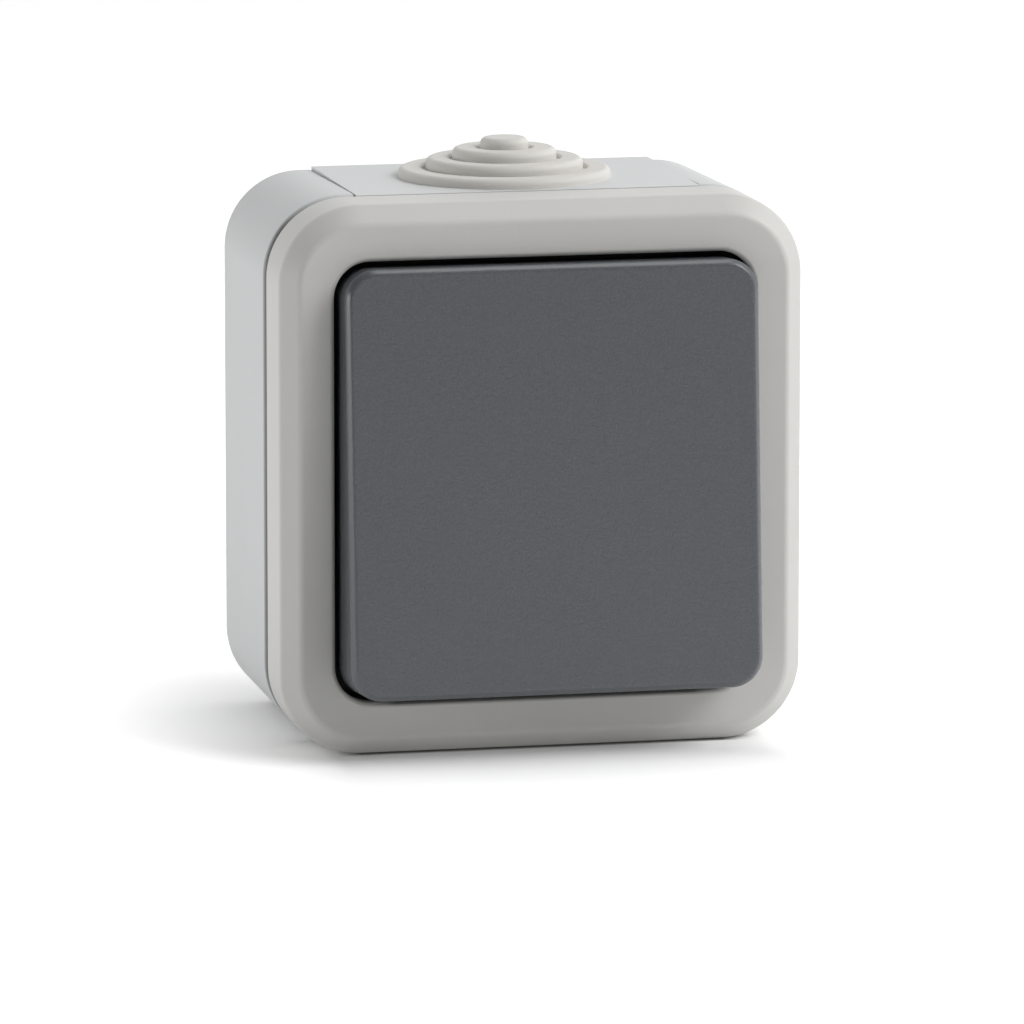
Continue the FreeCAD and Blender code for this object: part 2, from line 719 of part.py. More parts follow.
def make_moving_contacts():
    """Flat contact rivets, heads towards the wall."""
    rivets = []
    for number, side in enumerate(("", "-"), start=1):
        body = new_body("moving_contact_%d" % number)
        for across, out, length in (("contact_head", "bridge_lift - contact_rise", "contact_rise"),
                                    ("contact_shank", "bridge_lift", "bridge_wall"),
                                    ("1.4 * contact_shank", "bridge_lift + bridge_wall", "contact_rise / 3")):
            pad(body, circle(new_sketch(body, up=side + contact_arm, out=out), across), length)
        hang_on_fulcrum(body)
        rivets.append(body)
    return group("moving_contacts", rivets)


# Terminals: strips that lie in the base and end in a clamp

def make_outer_terminal(label, side):
    body = new_body(label)
    near = "strip_width / 2"
    far = "(clamp_side + clamp_length / 2)"
    strip = new_sketch(body, across=f"({far} - {near}) / 2", up=side + fixed_height, out=strip_seat)
    pad(body, rectangle(strip, f"{far} + {near}", "strip_width"), "strip_wall")
    hole = circle(new_sketch(body, up=side + fixed_height, out=f"{strip_seat} + strip_wall"),
                  "contact_shank + fit / 2")
    pocket(body, hole, "strip_wall + 0.5")
    return body


def make_common_terminal():
    body = new_body("common_terminal")
    near = "fulcrum_width / 2"
    far = "(clamp_side + clamp_length / 2)"
    strip = new_sketch(body, across=f"({near} - {far}) / 2", out=strip_seat)
    pad(body, rectangle(strip, f"{far} + {near}", "strip_width"), "strip_wall")
    # The fulcrum is a blade whose round edge is centred on the axis of the see-saw
    blade = new_sketch(body, "YZ", across=f"-{fulcrum_depth}", out="-fulcrum_width / 2")
    blade_foot = f"({fulcrum_depth} - {strip_seat} - strip_wall / 2)"
    corners = [(blade_foot, "bridge_nose"), ("0", "bridge_nose"), ("0", "-bridge_nose", HALF_TURN),
               (blade_foot, "-bridge_nose")]
    pad(body, profile(blade, corners), "fulcrum_width")
    return body


def make_fixed_contacts():
    """Domed contact rivets that face the see-saw."""
    rivets = []
    seat = "strip_wall"
    edge = "contact_dome - sqrt(contact_dome ^ 2 - (contact_head / 2) ^ 2)"
    for number, side in enumerate(("", "-"), start=1):
        body = new_body("fixed_contact_%d" % number)
        crown = f"({seat} + contact_rise)"
        corners = [("0", f"-{crown}"), ("contact_head / 2", f"-({crown} - ({edge}))", "contact_dome"),
                   ("contact_head / 2", f"-{seat}"), ("contact_shank / 2", f"-{seat}"),
                   ("contact_shank / 2", "0"), ("0.7 * contact_shank", "0"),
                   ("0.7 * contact_shank", "contact_rise / 3"), ("0", "contact_rise / 3")]
        revolve(body, profile(new_sketch(body, "XY"), corners))
        bind(body, Placement__Base__y=f"-{strip_seat}", Placement__Base__z=side + fixed_height)
        rivets.append(body)
    return group("fixed_contacts", rivets)


def make_terminal_clamps():
    """Square cages round the ends of the strips."""
    cages = []
    for number, (across, up) in enumerate(clamp_spots, start=1):
        body = new_body("terminal_clamp_%d" % number)
        rear = f"({strip_seat} - clamp_wall)"
        outside = rectangle(new_sketch(body, across=across, up=up, out=rear), "clamp_length", "clamp_width",
                            "clamp_wall / 2")
        pad(body, outside, "clamp_room + 2 * clamp_wall")
        room = new_sketch(body, "YZ", across=f"-({strip_seat} + clamp_room / 2)", up=up,
                          out=f"{across} + clamp_length")
        pocket(body, rectangle(room, "clamp_room", "clamp_width - 2 * clamp_wall"), "2 * clamp_length")
        thread = circle(new_sketch(body, across=across, up=up,
                                   out=f"{strip_seat} + clamp_room + 2 * clamp_wall"),
                        "clamp_screw + 2 * running_fit")
        pocket(body, thread, "2 * clamp_wall + clamp_room / 2")
        cages.append(body)
    return group("terminal_clamps", cages)


# Screws and rivets: revolved round their own axis, with a slot across the head

def make_screw(label, across, up, seat, diameter, head, head_height, length):
    """A slotted cheese-head screw that points to the wall, its head on a seat at a given depth."""
    body = new_body(label)
    corners = [("0", f"-({head_height})"), (f"{head} / 2", f"-({head_height})"), (f"{head} / 2", "0"),
               (f"{diameter} / 2", "0"), (f"{diameter} / 2", f"{length} - {diameter} / 4"),
               (f"{diameter} / 4", length), ("0", length)]
    revolve(body, profile(new_sketch(body, "XY"), corners))
    slot = rectangle(new_sketch(body, out=head_height), f"{head} + 1", "screw_slot")
    pocket(body, slot, f"({head_height}) / 2")
    bind(body, Placement__Base__x=across, Placement__Base__y=f"-({seat})", Placement__Base__z=up)
    return body


def make_frame_screws():
    return group("frame_screws", [
        make_screw("frame_screw_%d" % number, "0", up, tray_front, "screw", "screw_head", "screw_head_height",
                   "screw_length")
        for number, up in enumerate((pillar_height, "-" + pillar_height), start=1)])


def make_mechanism_screws():
    return group("mechanism_screws", [
        make_screw("mechanism_screw_%d" % number, across, "0", yoke_front, "screw", "screw_head",
                   "screw_head_height", "screw_length")
        for number, across in enumerate(("boss_side", "-boss_side"), start=1)])


def make_terminal_screws():
    seat = f"{strip_seat} + clamp_room + clamp_wall + running_fit"
    return group("terminal_screws", [
        make_screw("terminal_screw_%d" % number, across, up, seat, "clamp_screw", "clamp_screw_head",
                   "screw_head_height", "clamp_screw_length")
        for number, (across, up) in enumerate(clamp_spots, start=1)])


def make_mechanism_rivets():
    """Headed rivets through the yoke and the base."""
    rivets = []
    for number, up in enumerate((rivet_height, "-" + rivet_height), start=1):
        body = new_body("mechanism_rivet_%d" % number)
        grip = "(yoke_wall + base_depth)"
        corners = [("0", "-rivet / 3"), ("0.8 * rivet", "-rivet / 3"), ("0.8 * rivet", "0"),
                   ("rivet / 2", "0"), ("rivet / 2", grip), ("0.8 * rivet", grip),
                   ("0.8 * rivet", f"{grip} + rivet / 3"), ("0", f"{grip} + rivet / 3")]
        revolve(body, profile(new_sketch(body, "XY"), corners))
        bind(body, Placement__Base__y=f"-{yoke_front}", Placement__Base__z=up)
        rivets.append(body)
    return group("mechanism_rivets", rivets)


# Switch base: block with a well for the see-saw and pockets for the clamps

def make_switch_base():
    body = new_body("switch_base")
    block = rectangle(new_sketch(body, out="yoke_depth"), "base_width", "base_height", "base_radius")
    pad(body, block, "base_depth", backwards=True)
    well = rectangle(new_sketch(body, out="yoke_depth"), "cavity_width", cavity_height, "base_radius")
    pocket(body, well, f"yoke_depth - {strip_seat}")
    for across, up in clamp_spots:
        room = rectangle(new_sketch(body, across=across, up=up, out="yoke_depth"), "clamp_length + 2 * fit",
                         "clamp_width + 2 * fit")
        pocket(body, room, f"yoke_depth - {strip_seat} + clamp_wall")
        channel = rectangle(new_sketch(body, across=f"({across}) / 2", up=up, out="yoke_depth"),
                            "clamp_side", "strip_width + 2 * fit")
        pocket(body, channel, f"yoke_depth - {strip_seat}")
        wire = new_sketch(body, "YZ", across=f"-({strip_seat} + clamp_room / 2)", up=up, out=across)
        pocket(body, circle(wire, "wire_hole"), "base_width / 2", forwards=not across.startswith("-"))
    recess = circle(new_sketch(body, up=fixed_height, out=strip_seat), "1.4 * contact_shank + 2 * fit")
    recess = pocket(body, recess, "contact_rise / 2")
    hole = circle(new_sketch(body, up=rivet_height, out="yoke_depth"), "rivet + fit")
    mirror(body, [recess, pocket(body, hole, "base_depth + 1")], "XY")
    return body


# Mechanism yoke: cover plate with fixing ears and two bearing cheeks for the carrier

def make_mechanism_yoke():
    body = new_body("mechanism_yoke")
    pad(body, rectangle(new_sketch(body, out="yoke_depth"), "base_width", "base_height", "base_radius"),
        "yoke_wall")
    ears = rectangle(new_sketch(body, out="yoke_depth"), "ear_width", "ear_height", "base_radius")
    pad(body, ears, "yoke_wall")
    cheek = new_sketch(body, "YZ", across=f"-{pivot_depth}", out="carrier_width / 2 + cheek_air")
    foot = f"({pivot_depth} - yoke_depth - yoke_wall / 2)"
    rounding = "(trunnion / 2 + 1)"
    corners = [(foot, "cheek_width / 2"), ("cheek_width / 2", "cheek_width / 2"), ("0", rounding),
               ("0", f"-{rounding}", HALF_TURN), ("cheek_width / 2", "-cheek_width / 2"),
               (foot, "-cheek_width / 2")]
    cheek = pad(body, profile(cheek, corners), "cheek_wall")
    bearing = circle(new_sketch(body, "YZ", across=f"-{pivot_depth}",
                                out="carrier_width / 2 + cheek_air + cheek_wall + 1"),
                     "trunnion + 2 * running_fit")
    bearing = pocket(body, bearing, "cheek_wall + 1.5")
    mirror(body, [cheek, bearing], "YZ")

    reach = rectangle(new_sketch(body, out=yoke_front), "tower + 2", "tower + 2", "base_radius")
    pocket(body, reach, "yoke_wall + 0.5")
    for across, up in clamp_spots:
        access = circle(new_sketch(body, across=across, up=up, out=yoke_front), "clamp_screw_head - fit")
        pocket(body, access, "yoke_wall + 0.5")
    ear_hole = circle(new_sketch(body, across="boss_side", out=yoke_front), "screw + 2 * fit")
    mirror(body, [pocket(body, ear_hole, "yoke_wall + 0.5")], "YZ")
    rivet_hole = circle(new_sketch(body, up=rivet_height, out=yoke_front), "rivet + fit")
    mirror(body, [pocket(body, rivet_hole, "yoke_wall + 0.5")], "XY")
    return body


pieces = [
    make_back_box(),
    make_cable_entry_plate(),
    make_cable_grommet(),
    make_rim_gasket(),
    make_front_frame(),
    make_splash_seal(),
    make_frame_screws(),
    make_rocker(),
    make_rocker_carrier(),
    make_toggle_spring(),
    make_toggle_plunger(),
    make_contact_bridge(),
    make_moving_contacts(),
    make_common_terminal(),
    make_outer_terminal("upper_terminal", ""),
    make_outer_terminal("lower_terminal", "-"),
    make_fixed_contacts(),
    make_terminal_clamps(),
    make_terminal_screws(),
    make_switch_base(),
    make_mechanism_yoke(),
    make_mechanism_rivets(),
    make_mechanism_screws(),
]
doc.recompute()

for item in doc.Objects:
    if "Invalid" in item.State or "Error" in item.State:
        raise RuntimeError("%s did not build: %s" % (item.Label, item.State))

os.makedirs("parts", exist_ok=True)
for piece in pieces:
    if piece.Shape.isNull() or not piece.Shape.isValid():
        raise RuntimeError("%s has no valid shape" % piece.Label)
    piece.Shape.exportStep("parts/%s.step" % piece.Label)
    print(piece.Label, len(piece.Shape.Solids), round(piece.Shape.Volume, 1))
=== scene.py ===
import math

import bmesh
import bpy
from mathutils import Matrix, Vector


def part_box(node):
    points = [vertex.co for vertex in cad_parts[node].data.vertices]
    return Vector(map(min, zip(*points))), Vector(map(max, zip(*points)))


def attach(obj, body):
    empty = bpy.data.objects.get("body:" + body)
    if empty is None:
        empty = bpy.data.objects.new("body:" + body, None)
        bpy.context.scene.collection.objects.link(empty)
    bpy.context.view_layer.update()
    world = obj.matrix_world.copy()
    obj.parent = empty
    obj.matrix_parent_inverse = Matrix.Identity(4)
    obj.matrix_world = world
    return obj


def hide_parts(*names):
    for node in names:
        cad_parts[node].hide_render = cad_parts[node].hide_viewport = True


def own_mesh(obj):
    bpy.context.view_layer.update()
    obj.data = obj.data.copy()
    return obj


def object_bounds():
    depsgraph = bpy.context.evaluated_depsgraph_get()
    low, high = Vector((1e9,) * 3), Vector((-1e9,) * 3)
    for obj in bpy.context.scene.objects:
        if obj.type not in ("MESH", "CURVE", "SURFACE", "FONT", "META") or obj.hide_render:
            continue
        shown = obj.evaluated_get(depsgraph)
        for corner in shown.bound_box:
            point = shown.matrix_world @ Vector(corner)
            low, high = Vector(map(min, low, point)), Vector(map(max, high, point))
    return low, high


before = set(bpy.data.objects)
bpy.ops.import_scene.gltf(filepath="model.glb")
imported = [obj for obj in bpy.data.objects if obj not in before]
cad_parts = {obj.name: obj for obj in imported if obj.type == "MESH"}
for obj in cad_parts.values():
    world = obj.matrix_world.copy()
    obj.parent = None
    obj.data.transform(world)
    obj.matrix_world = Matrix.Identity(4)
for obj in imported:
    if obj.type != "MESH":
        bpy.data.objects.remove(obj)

cad_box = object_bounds()


# Back box.
# Deep box that is screwed to the wall and holds the mechanism and the wires. It is injection-moulded in one
# shot from light grey thermoplastic that stands sunlight, with a little draft so that it leaves the mould.

MM = 0.001


def linear(hex_colour):
    """An sRGB hex colour as linear red, green, blue and alpha."""
    parts = [int(hex_colour[i:i + 2], 16) / 255 for i in (0, 2, 4)]
    return [p / 12.92 if p <= 0.04045 else ((p + 0.055) / 1.055) ** 2.4 for p in parts] + [1.0]


def add(material, kind, inputs=None, **settings):
    """Add a node with its settings; each input takes a value or another node's output."""
    node = material.node_tree.nodes.new(kind)
    for name, setting in settings.items():
        setattr(node, name, setting)
    for socket, source in (inputs or {}).items():
        if isinstance(source, bpy.types.NodeSocket):
            material.node_tree.links.new(source, node.inputs[socket])
        else:
            node.inputs[socket].default_value = source
    return node


def moulded_plastic(name, colour, flow_colour, grain_mm, grain_depth_mm, roughness, edge_mm=0.0, painted_shade=None):
    """Injection-moulded plastic with a spark-eroded grain.

    The grain breaks the gloss into a satin sheen, and fades where a wall is drawn along the mould. Real
    grain is about 0.1 mm wide, less than a pixel of the render, so it is drawn three to five times as
    coarse. Faint flow clouds keep the colour from looking flat, and edges catch the light as if rounded by
    edge_mm. Where painted_shade is given, it is a function that gives the share of painted shade, a darker
    colour that stands in for shade, in a joint.
    """
    cloud_width = 18 * MM
    painted_shade_colour = "4A4947"
    front = (0, -1, 0)
    drawn_wall = 0.85
    open_face = 0.97
    grain_low = 0.3
    grain_middle = 0.5
    grain_high = 0.7
    gloss_spread = 0.06
    material = bpy.data.materials.new(name)
    material.use_nodes = True
    material.node_tree.nodes.clear()
    place = add(material, "ShaderNodeTexCoord").outputs["Object"]
    clouds = add(material, "ShaderNodeTexNoise", {"Vector": place, "Scale": 1 / cloud_width, "Detail": 3.0})
    tint = add(material, "ShaderNodeMix", {"Factor": clouds.outputs["Fac"], "A": linear(colour),
                                           "B": linear(flow_colour)}, data_type="RGBA")
    # Painted shade: a darker colour mixed in wherever painted_shade gives a share.
    if painted_shade:
        tint = add(material, "ShaderNodeMix", {"Factor": painted_shade(material, place), "A": tint.outputs["Result"],
                                               "B": linear(painted_shade_colour)}, data_type="RGBA")
    grain = add(material, "ShaderNodeTexNoise", {"Vector": place, "Scale": 1 / (grain_mm * MM),
                                                 "Detail": 2.0, "Roughness": 0.6})
    normal = add(material, "ShaderNodeTexCoord").outputs["Normal"]
    facing = add(material, "ShaderNodeVectorMath", {0: normal, 1: front}, operation="DOT_PRODUCT")
    across_draw = add(material, "ShaderNodeMapRange", {"Value": facing.outputs["Value"],
                                                       "From Min": drawn_wall, "From Max": open_face})
    skin = add(material, "ShaderNodeMix", {"Factor": across_draw.outputs["Result"], "A": grain_middle,
                                           "B": grain.outputs["Fac"]})
    gloss = add(material, "ShaderNodeMapRange", {"Value": skin.outputs["Result"],
                                                 "From Min": grain_low, "From Max": grain_high,
                                                 "To Min": roughness - gloss_spread,
                                                 "To Max": roughness + gloss_spread})
    edge = add(material, "ShaderNodeBevel", {"Radius": edge_mm * MM}, samples=8)
    relief = add(material, "ShaderNodeBump", {"Height": skin.outputs["Result"], "Strength": 1.0,
                                              "Distance": grain_depth_mm * MM,
                                              "Normal": edge.outputs["Normal"]})
    surface = add(material, "ShaderNodeBsdfPrincipled", {"Base Color": tint.outputs["Result"], "IOR": 1.5,
                                                         "Roughness": gloss.outputs["Result"],
                                                         "Normal": relief.outputs["Normal"]})
    add(material, "ShaderNodeOutputMaterial", {"Surface": surface.outputs["BSDF"]})
    return material


def dress(node, material):
    """Give a solid of the frame its finish."""
    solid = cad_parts[node]
    for slot in solid.material_slots:
        slot.material = material


def rim_painted_shade(material, place):
    """Painted shade on the rim where it goes into the seam; it fades out at the top, which light from above
    reaches.
    """
    frame_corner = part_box("front_frame")[1]
    painted_shade_starts = frame_corner.y + 2.2 * MM
    painted_shade_full = frame_corner.y + 1.5 * MM
    top_lit_depth = 4 * MM
    painted_shade_share = 0.8
    axes = add(material, "ShaderNodeSeparateXYZ", {"Vector": place})
    top_lit = add(material, "ShaderNodeMapRange", {"Value": axes.outputs["Z"],
                                                  "From Min": frame_corner.z - top_lit_depth,
                                                  "From Max": frame_corner.z,
                                                  "To Min": painted_shade_share, "To Max": 0.0})
    share = add(material, "ShaderNodeMapRange", {"Value": axes.outputs["Y"],
                                                 "From Min": painted_shade_starts, "From Max": painted_shade_full,
                                                 "To Max": top_lit.outputs["Result"]})
    return share.outputs["Result"]


# The thermoplastic gives the eye an even, cool light grey with a satin sheen, and painted shade darkens the
# seam.
dress("back_box", moulded_plastic("grey_box_thermoplastic", colour="D0D1D2", flow_colour="CBCCCD",
                                  grain_mm=0.35, grain_depth_mm=0.01, roughness=0.5, painted_shade=rim_painted_shade))


# Cable entry plate.
# Separate plate in the top wall of the box, moulded in the same grey. It slides in from the front on two
# rails, and its hole holds the grommet.

# The same thermoplastic from another shot gives the eye a grey that is a shade lighter.
dress("cable_entry_plate", moulded_plastic("grey_plate_thermoplastic", colour="D2D3D4", flow_colour="CDCECF",
                                           grain_mm=0.35, grain_depth_mm=0.01, roughness=0.5))


# Cable grommet.
# Stepped membrane of soft elastomer, moulded and pressed into the hole of the plate. Its button is cut off
# to suit the cable.

# The elastomer gives the eye a warmer, duller grey than the plate, because its soft skin scatters light.
dress("cable_grommet", moulded_plastic("grey_elastomer", colour="D7D5D0", flow_colour="D2D0CB",
                                       grain_mm=0.5, grain_depth_mm=0.012, roughness=0.62))


# Switch base, yoke, rocker carrier and plunger.
# Working parts of the mechanism, moulded in polyamide. The yoke is riveted on the base and screwed to the
# box, the carrier turns in the yoke's cheeks, and the plunger slides in the carrier.

# Polyamide gives the eye a slightly creamy white with a dull sheen, and the dyed yoke a plain middle grey.
white_polyamide = moulded_plastic("white_polyamide", colour="E2E1DB", flow_colour="DDDCD6",
                                  grain_mm=0.4, grain_depth_mm=0.01, roughness=0.5)
for node in ("rocker_carrier", "toggle_plunger", "switch_base"):
    dress(node, white_polyamide)
dress("mechanism_yoke", moulded_plastic("grey_polyamide", colour="9A9DA0", flow_colour="94979A",
                                        grain_mm=0.4, grain_depth_mm=0.01, roughness=0.5))


# Contacts, terminals and fasteners.
# Strips stamped from rolled brass with contacts of silver alloy riveted in them, and clamps, screws and
# rivets of zinc-plated steel.

def stamped_metal(name, colour, dull_colour, roughness):
    """Rolled metal with a patchy dull film.

    Rolling marks that stretch along X give the eye a soft, streaked shine. Real marks are a few hundredths
    of a millimetre wide, too fine to show, so they are drawn as wide as mark_width.
    """
    mark_width = 0.3 * MM
    mark_stretch = 10
    gloss_spread = 0.1
    material = bpy.data.materials.new(name)
    material.use_nodes = True
    material.node_tree.nodes.clear()
    place = add(material, "ShaderNodeTexCoord").outputs["Object"]
    rolled = add(material, "ShaderNodeMapping", {"Vector": place, "Scale": (1 / mark_stretch, 1.0, 1.0)})
    marks = add(material, "ShaderNodeTexNoise", {"Vector": rolled.outputs["Vector"], "Scale": 1 / mark_width,
                                                 "Detail": 3.0})
    tint = add(material, "ShaderNodeMix", {"Factor": marks.outputs["Fac"], "A": linear(colour),
                                           "B": linear(dull_colour)}, data_type="RGBA")
    gloss = add(material, "ShaderNodeMapRange", {"Value": marks.outputs["Fac"],
                                                 "To Min": roughness - gloss_spread,
                                                 "To Max": roughness + gloss_spread})
    surface = add(material, "ShaderNodeBsdfPrincipled", {"Base Color": tint.outputs["Result"],
                                                         "Metallic": 1.0,
                                                         "Roughness": gloss.outputs["Result"]})
    add(material, "ShaderNodeOutputMaterial", {"Surface": surface.outputs["BSDF"]})
    return material


# Brass gives the eye a warm yellow shine that the air has dulled a little.
brass_strip = stamped_metal("brass_strip", colour="D9B56C", dull_colour="C49B53", roughness=0.3)
for node in ("contact_bridge", "common_terminal", "upper_terminal", "lower_terminal"):
    dress(node, brass_strip)

# Silver alloy gives the eye a pale, faintly warm white.
silver_alloy = stamped_metal("silver_alloy", colour="D8D7D2", dull_colour="BDBCB8", roughness=0.3)
for node in ("moving_contacts", "fixed_contacts"):
    dress(node, silver_alloy)

# Zinc plating gives the eye a cool, slightly blue grey.
zinc_plate = stamped_metal("zinc_plated_steel", colour="C4C7CA", dull_colour="A9ACB0", roughness=0.35)
for node in ("terminal_clamps", "terminal_screws", "mechanism_rivets", "mechanism_screws", "frame_screws"):
    dress(node, zinc_plate)


# Toggle spring.
# Coil of zinc-plated spring wire that sits in the pocket of the carrier and presses on the plunger. It
# shortens as the plunger comes in; a copy of its solid, hung on the rocker, stands for it unchanged.

merge_gap = 0.001 * MM
coil = bmesh.new()
coil.from_mesh(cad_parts["toggle_spring"].data)
bmesh.ops.remove_doubles(coil, verts=coil.verts, dist=merge_gap)
for face in coil.faces:
    face.smooth = True
spring_mesh = bpy.data.meshes.new("toggle_spring_coil")
coil.to_mesh(spring_mesh)
coil.free()
spring_mesh.materials.append(zinc_plate)
spring = bpy.data.objects.new("toggle_spring_coil", spring_mesh)
bpy.context.collection.objects.link(spring)
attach(spring, "rocker")
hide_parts("toggle_spring")
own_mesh(spring)


# Rim gasket and splash seal.
# Two mouldings of dark rubber that keep the water out. The gasket lies between the rim of the box and the
# frame, and the seal is a tray under the rocker.

# Rubber gives the eye a dull dark grey, which the shade in the gap round the rocker turns nearly black.
dark_rubber = moulded_plastic("dark_rubber", colour="565554", flow_colour="525150",
                              grain_mm=0.4, grain_depth_mm=0.01, roughness=0.7)
dress("rim_gasket", dark_rubber)
dress("splash_seal", dark_rubber)


# Front frame.
# Bevelled frame that is screwed to the box from under the rocker and presses on the gasket. It is moulded
# from thermoplastic in a slightly warmer grey than the box.

def sill_painted_shade(material, place):
    """Painted shade along the lower edge of the opening, in the shelter of the rocker."""
    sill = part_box("splash_seal")[0].z + 0.7 * MM
    full_line = 0.3 * MM
    line_ends = 0.8 * MM
    rocker_low, rocker_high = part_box("rocker")
    rocker_half = (rocker_high.x - rocker_low.x) / 2
    sheltered_to = rocker_half - 7.2 * MM
    open_from = rocker_half - 2.2 * MM
    painted_shade_share = 0.9
    axes = add(material, "ShaderNodeSeparateXYZ", {"Vector": place})
    above_sill = add(material, "ShaderNodeMath", {0: axes.outputs["Z"], 1: sill}, operation="SUBTRACT")
    off_sill = add(material, "ShaderNodeMath", {0: above_sill.outputs["Value"]}, operation="ABSOLUTE")
    off_middle = add(material, "ShaderNodeMath", {0: axes.outputs["X"]}, operation="ABSOLUTE")
    sheltered = add(material, "ShaderNodeMapRange", {"Value": off_middle.outputs["Value"],
                                                     "From Min": sheltered_to, "From Max": open_from,
                                                     "To Min": painted_shade_share, "To Max": 0.0})
    share = add(material, "ShaderNodeMapRange", {"Value": off_sill.outputs["Value"],
                                                 "From Min": full_line, "From Max": line_ends,
                                                 "To Min": sheltered.outputs["Result"], "To Max": 0.0})
    return share.outputs["Result"]


# The satin mould gives the eye soft lights along the bevels, and painted shade draws a dark line under the
# rocker.
dress("front_frame", moulded_plastic("warm_grey_thermoplastic", colour="CDCCC9", flow_colour="C8C7C4",
                                     grain_mm=0.4, grain_depth_mm=0.01, roughness=0.45, painted_shade=sill_painted_shade))


# Rocker.
# Hollow cap that clips on the carrier with two hooks. It is moulded from anthracite thermoplastic, in a
# mould with a leathery grain against finger marks.

# The deeper grain gives the eye a fine sparkle on dark grey, with a thin light along the rounded edges.
dress("rocker", moulded_plastic("anthracite_thermoplastic", colour="5B5D61", flow_colour="585A5E",
                                grain_mm=0.32, grain_depth_mm=0.022, roughness=0.27, edge_mm=0.5))


# Floor.
# White paper that the switch stands on. Away from the switch the eye, and any gloss, see it lifted to full
# white; close to the switch it keeps the shadow.

floor_height = cad_box[0][2]
floor_reach = 4.0
sheet = bmesh.new()
bmesh.ops.create_grid(sheet, x_segments=1, y_segments=1, size=floor_reach,
                      matrix=Matrix.Translation((0, 0, floor_height)))
floor_mesh = bpy.data.meshes.new("floor")
sheet.to_mesh(floor_mesh)
sheet.free()
floor = bpy.data.objects.new("floor", floor_mesh)
bpy.context.collection.objects.link(floor)

paper = bpy.data.materials.new("white_paper")
paper.use_nodes = True
paper.node_tree.nodes.clear()
spot_on_floor = add(paper, "ShaderNodeTexCoord").outputs["Object"]

# The lift is nothing under the switch and grows to full white a little way out, more slowly in front.
shade_share = 0.78
front_pace = 0.5
lift_starts = 0.8 * MM
lift_ends = 24 * MM
lift_curve = 0.6
full_lift = 0.52
middle = [(low + high) / 2 for low, high in zip(*cad_box)]
half = [(high - low) / 2 for low, high in zip(*cad_box)]
from_middle = add(paper, "ShaderNodeVectorMath", {0: spot_on_floor, 1: (middle[0], middle[1], floor_height)},
                  operation="SUBTRACT")
spread = add(paper, "ShaderNodeVectorMath", {0: from_middle.outputs["Vector"]}, operation="ABSOLUTE")
shade_reach = (shade_share * half[0], half[1], 0)
past_side = add(paper, "ShaderNodeVectorMath", {0: spread.outputs["Vector"], 1: shade_reach},
                operation="SUBTRACT")
outside = add(paper, "ShaderNodeVectorMath", {0: past_side.outputs["Vector"], 1: (0, 0, 0)},
              operation="MAXIMUM")
later_in_front = add(paper, "ShaderNodeVectorMath", {0: outside.outputs["Vector"], 1: (1, front_pace, 0)},
                     operation="MULTIPLY")
away = add(paper, "ShaderNodeVectorMath", {0: later_in_front.outputs["Vector"]}, operation="LENGTH")
way_out = add(paper, "ShaderNodeMapRange", {"Value": away.outputs["Value"], "From Min": lift_starts,
                                            "From Max": lift_ends})
soon = add(paper, "ShaderNodeMath", {0: way_out.outputs["Result"], 1: lift_curve}, operation="POWER")
lift = add(paper, "ShaderNodeMath", {0: soon.outputs["Value"], 1: full_lift}, operation="MULTIPLY")

# The dark line under the frame is painted shade in the paper's colour, a wedge where its lower bevel comes
# down to the paper.
nearly_down = floor_height + 0.05 * MM
wedge_full = 0.8 * MM
wedge_ends = 2.0 * MM
wedge_share = 0.86
corner_starts = 1 * MM
corner_ends = 2 * MM
footprint = [point.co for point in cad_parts["front_frame"].data.vertices if point.co.z < nearly_down]
foot_side = max(corner.x for corner in footprint)
foot_front = min(corner.y for corner in footprint)
foot_back = max(corner.y for corner in footprint)
foot_middle = (foot_front + foot_back) / 2
foot_half = (foot_back - foot_front) / 2
floor_axes = add(paper, "ShaderNodeSeparateXYZ", {"Vector": spot_on_floor})
off_side = add(paper, "ShaderNodeMath", {0: floor_axes.outputs["X"]}, operation="ABSOLUTE")
touching = add(paper, "ShaderNodeMapRange", {"Value": off_side.outputs["Value"],
                                             "From Min": foot_side - corner_starts,
                                             "From Max": foot_side + corner_ends,
                                             "To Min": wedge_share, "To Max": 0.0})
along_foot = add(paper, "ShaderNodeMath", {0: floor_axes.outputs["Y"], 1: foot_middle}, operation="SUBTRACT")
off_foot = add(paper, "ShaderNodeMath", {0: along_foot.outputs["Value"]}, operation="ABSOLUTE")
painted_wedge = add(paper, "ShaderNodeMapRange", {"Value": off_foot.outputs["Value"],
                                          "From Min": foot_half + wedge_full,
                                          "From Max": foot_half + wedge_ends,
                                          "To Min": touching.outputs["Result"], "To Max": 0.0})
paper_with_painted_shade = add(paper, "ShaderNodeMix", {"Factor": painted_wedge.outputs["Result"], "A": linear("FFFFFF"),
                                      "B": linear("202020")}, data_type="RGBA")

# A little painted glow in the paper in front stands for light thrown back on the lower bevel, which only the
# switch sees.
bounce_full = 8 * MM
bounce_ends = 20 * MM
bounce_strength = 0.11
in_front = add(paper, "ShaderNodeMath", {0: along_foot.outputs["Value"], 1: 0.0}, operation="LESS_THAN")
near_foot = add(paper, "ShaderNodeMapRange", {"Value": off_foot.outputs["Value"],
                                              "From Min": foot_half + bounce_full,
                                              "From Max": foot_half + bounce_ends,
                                              "To Min": bounce_strength, "To Max": 0.0})
painted_bounce = add(paper, "ShaderNodeMath", {0: near_foot.outputs["Result"], 1: in_front.outputs["Value"]},
             operation="MULTIPLY")
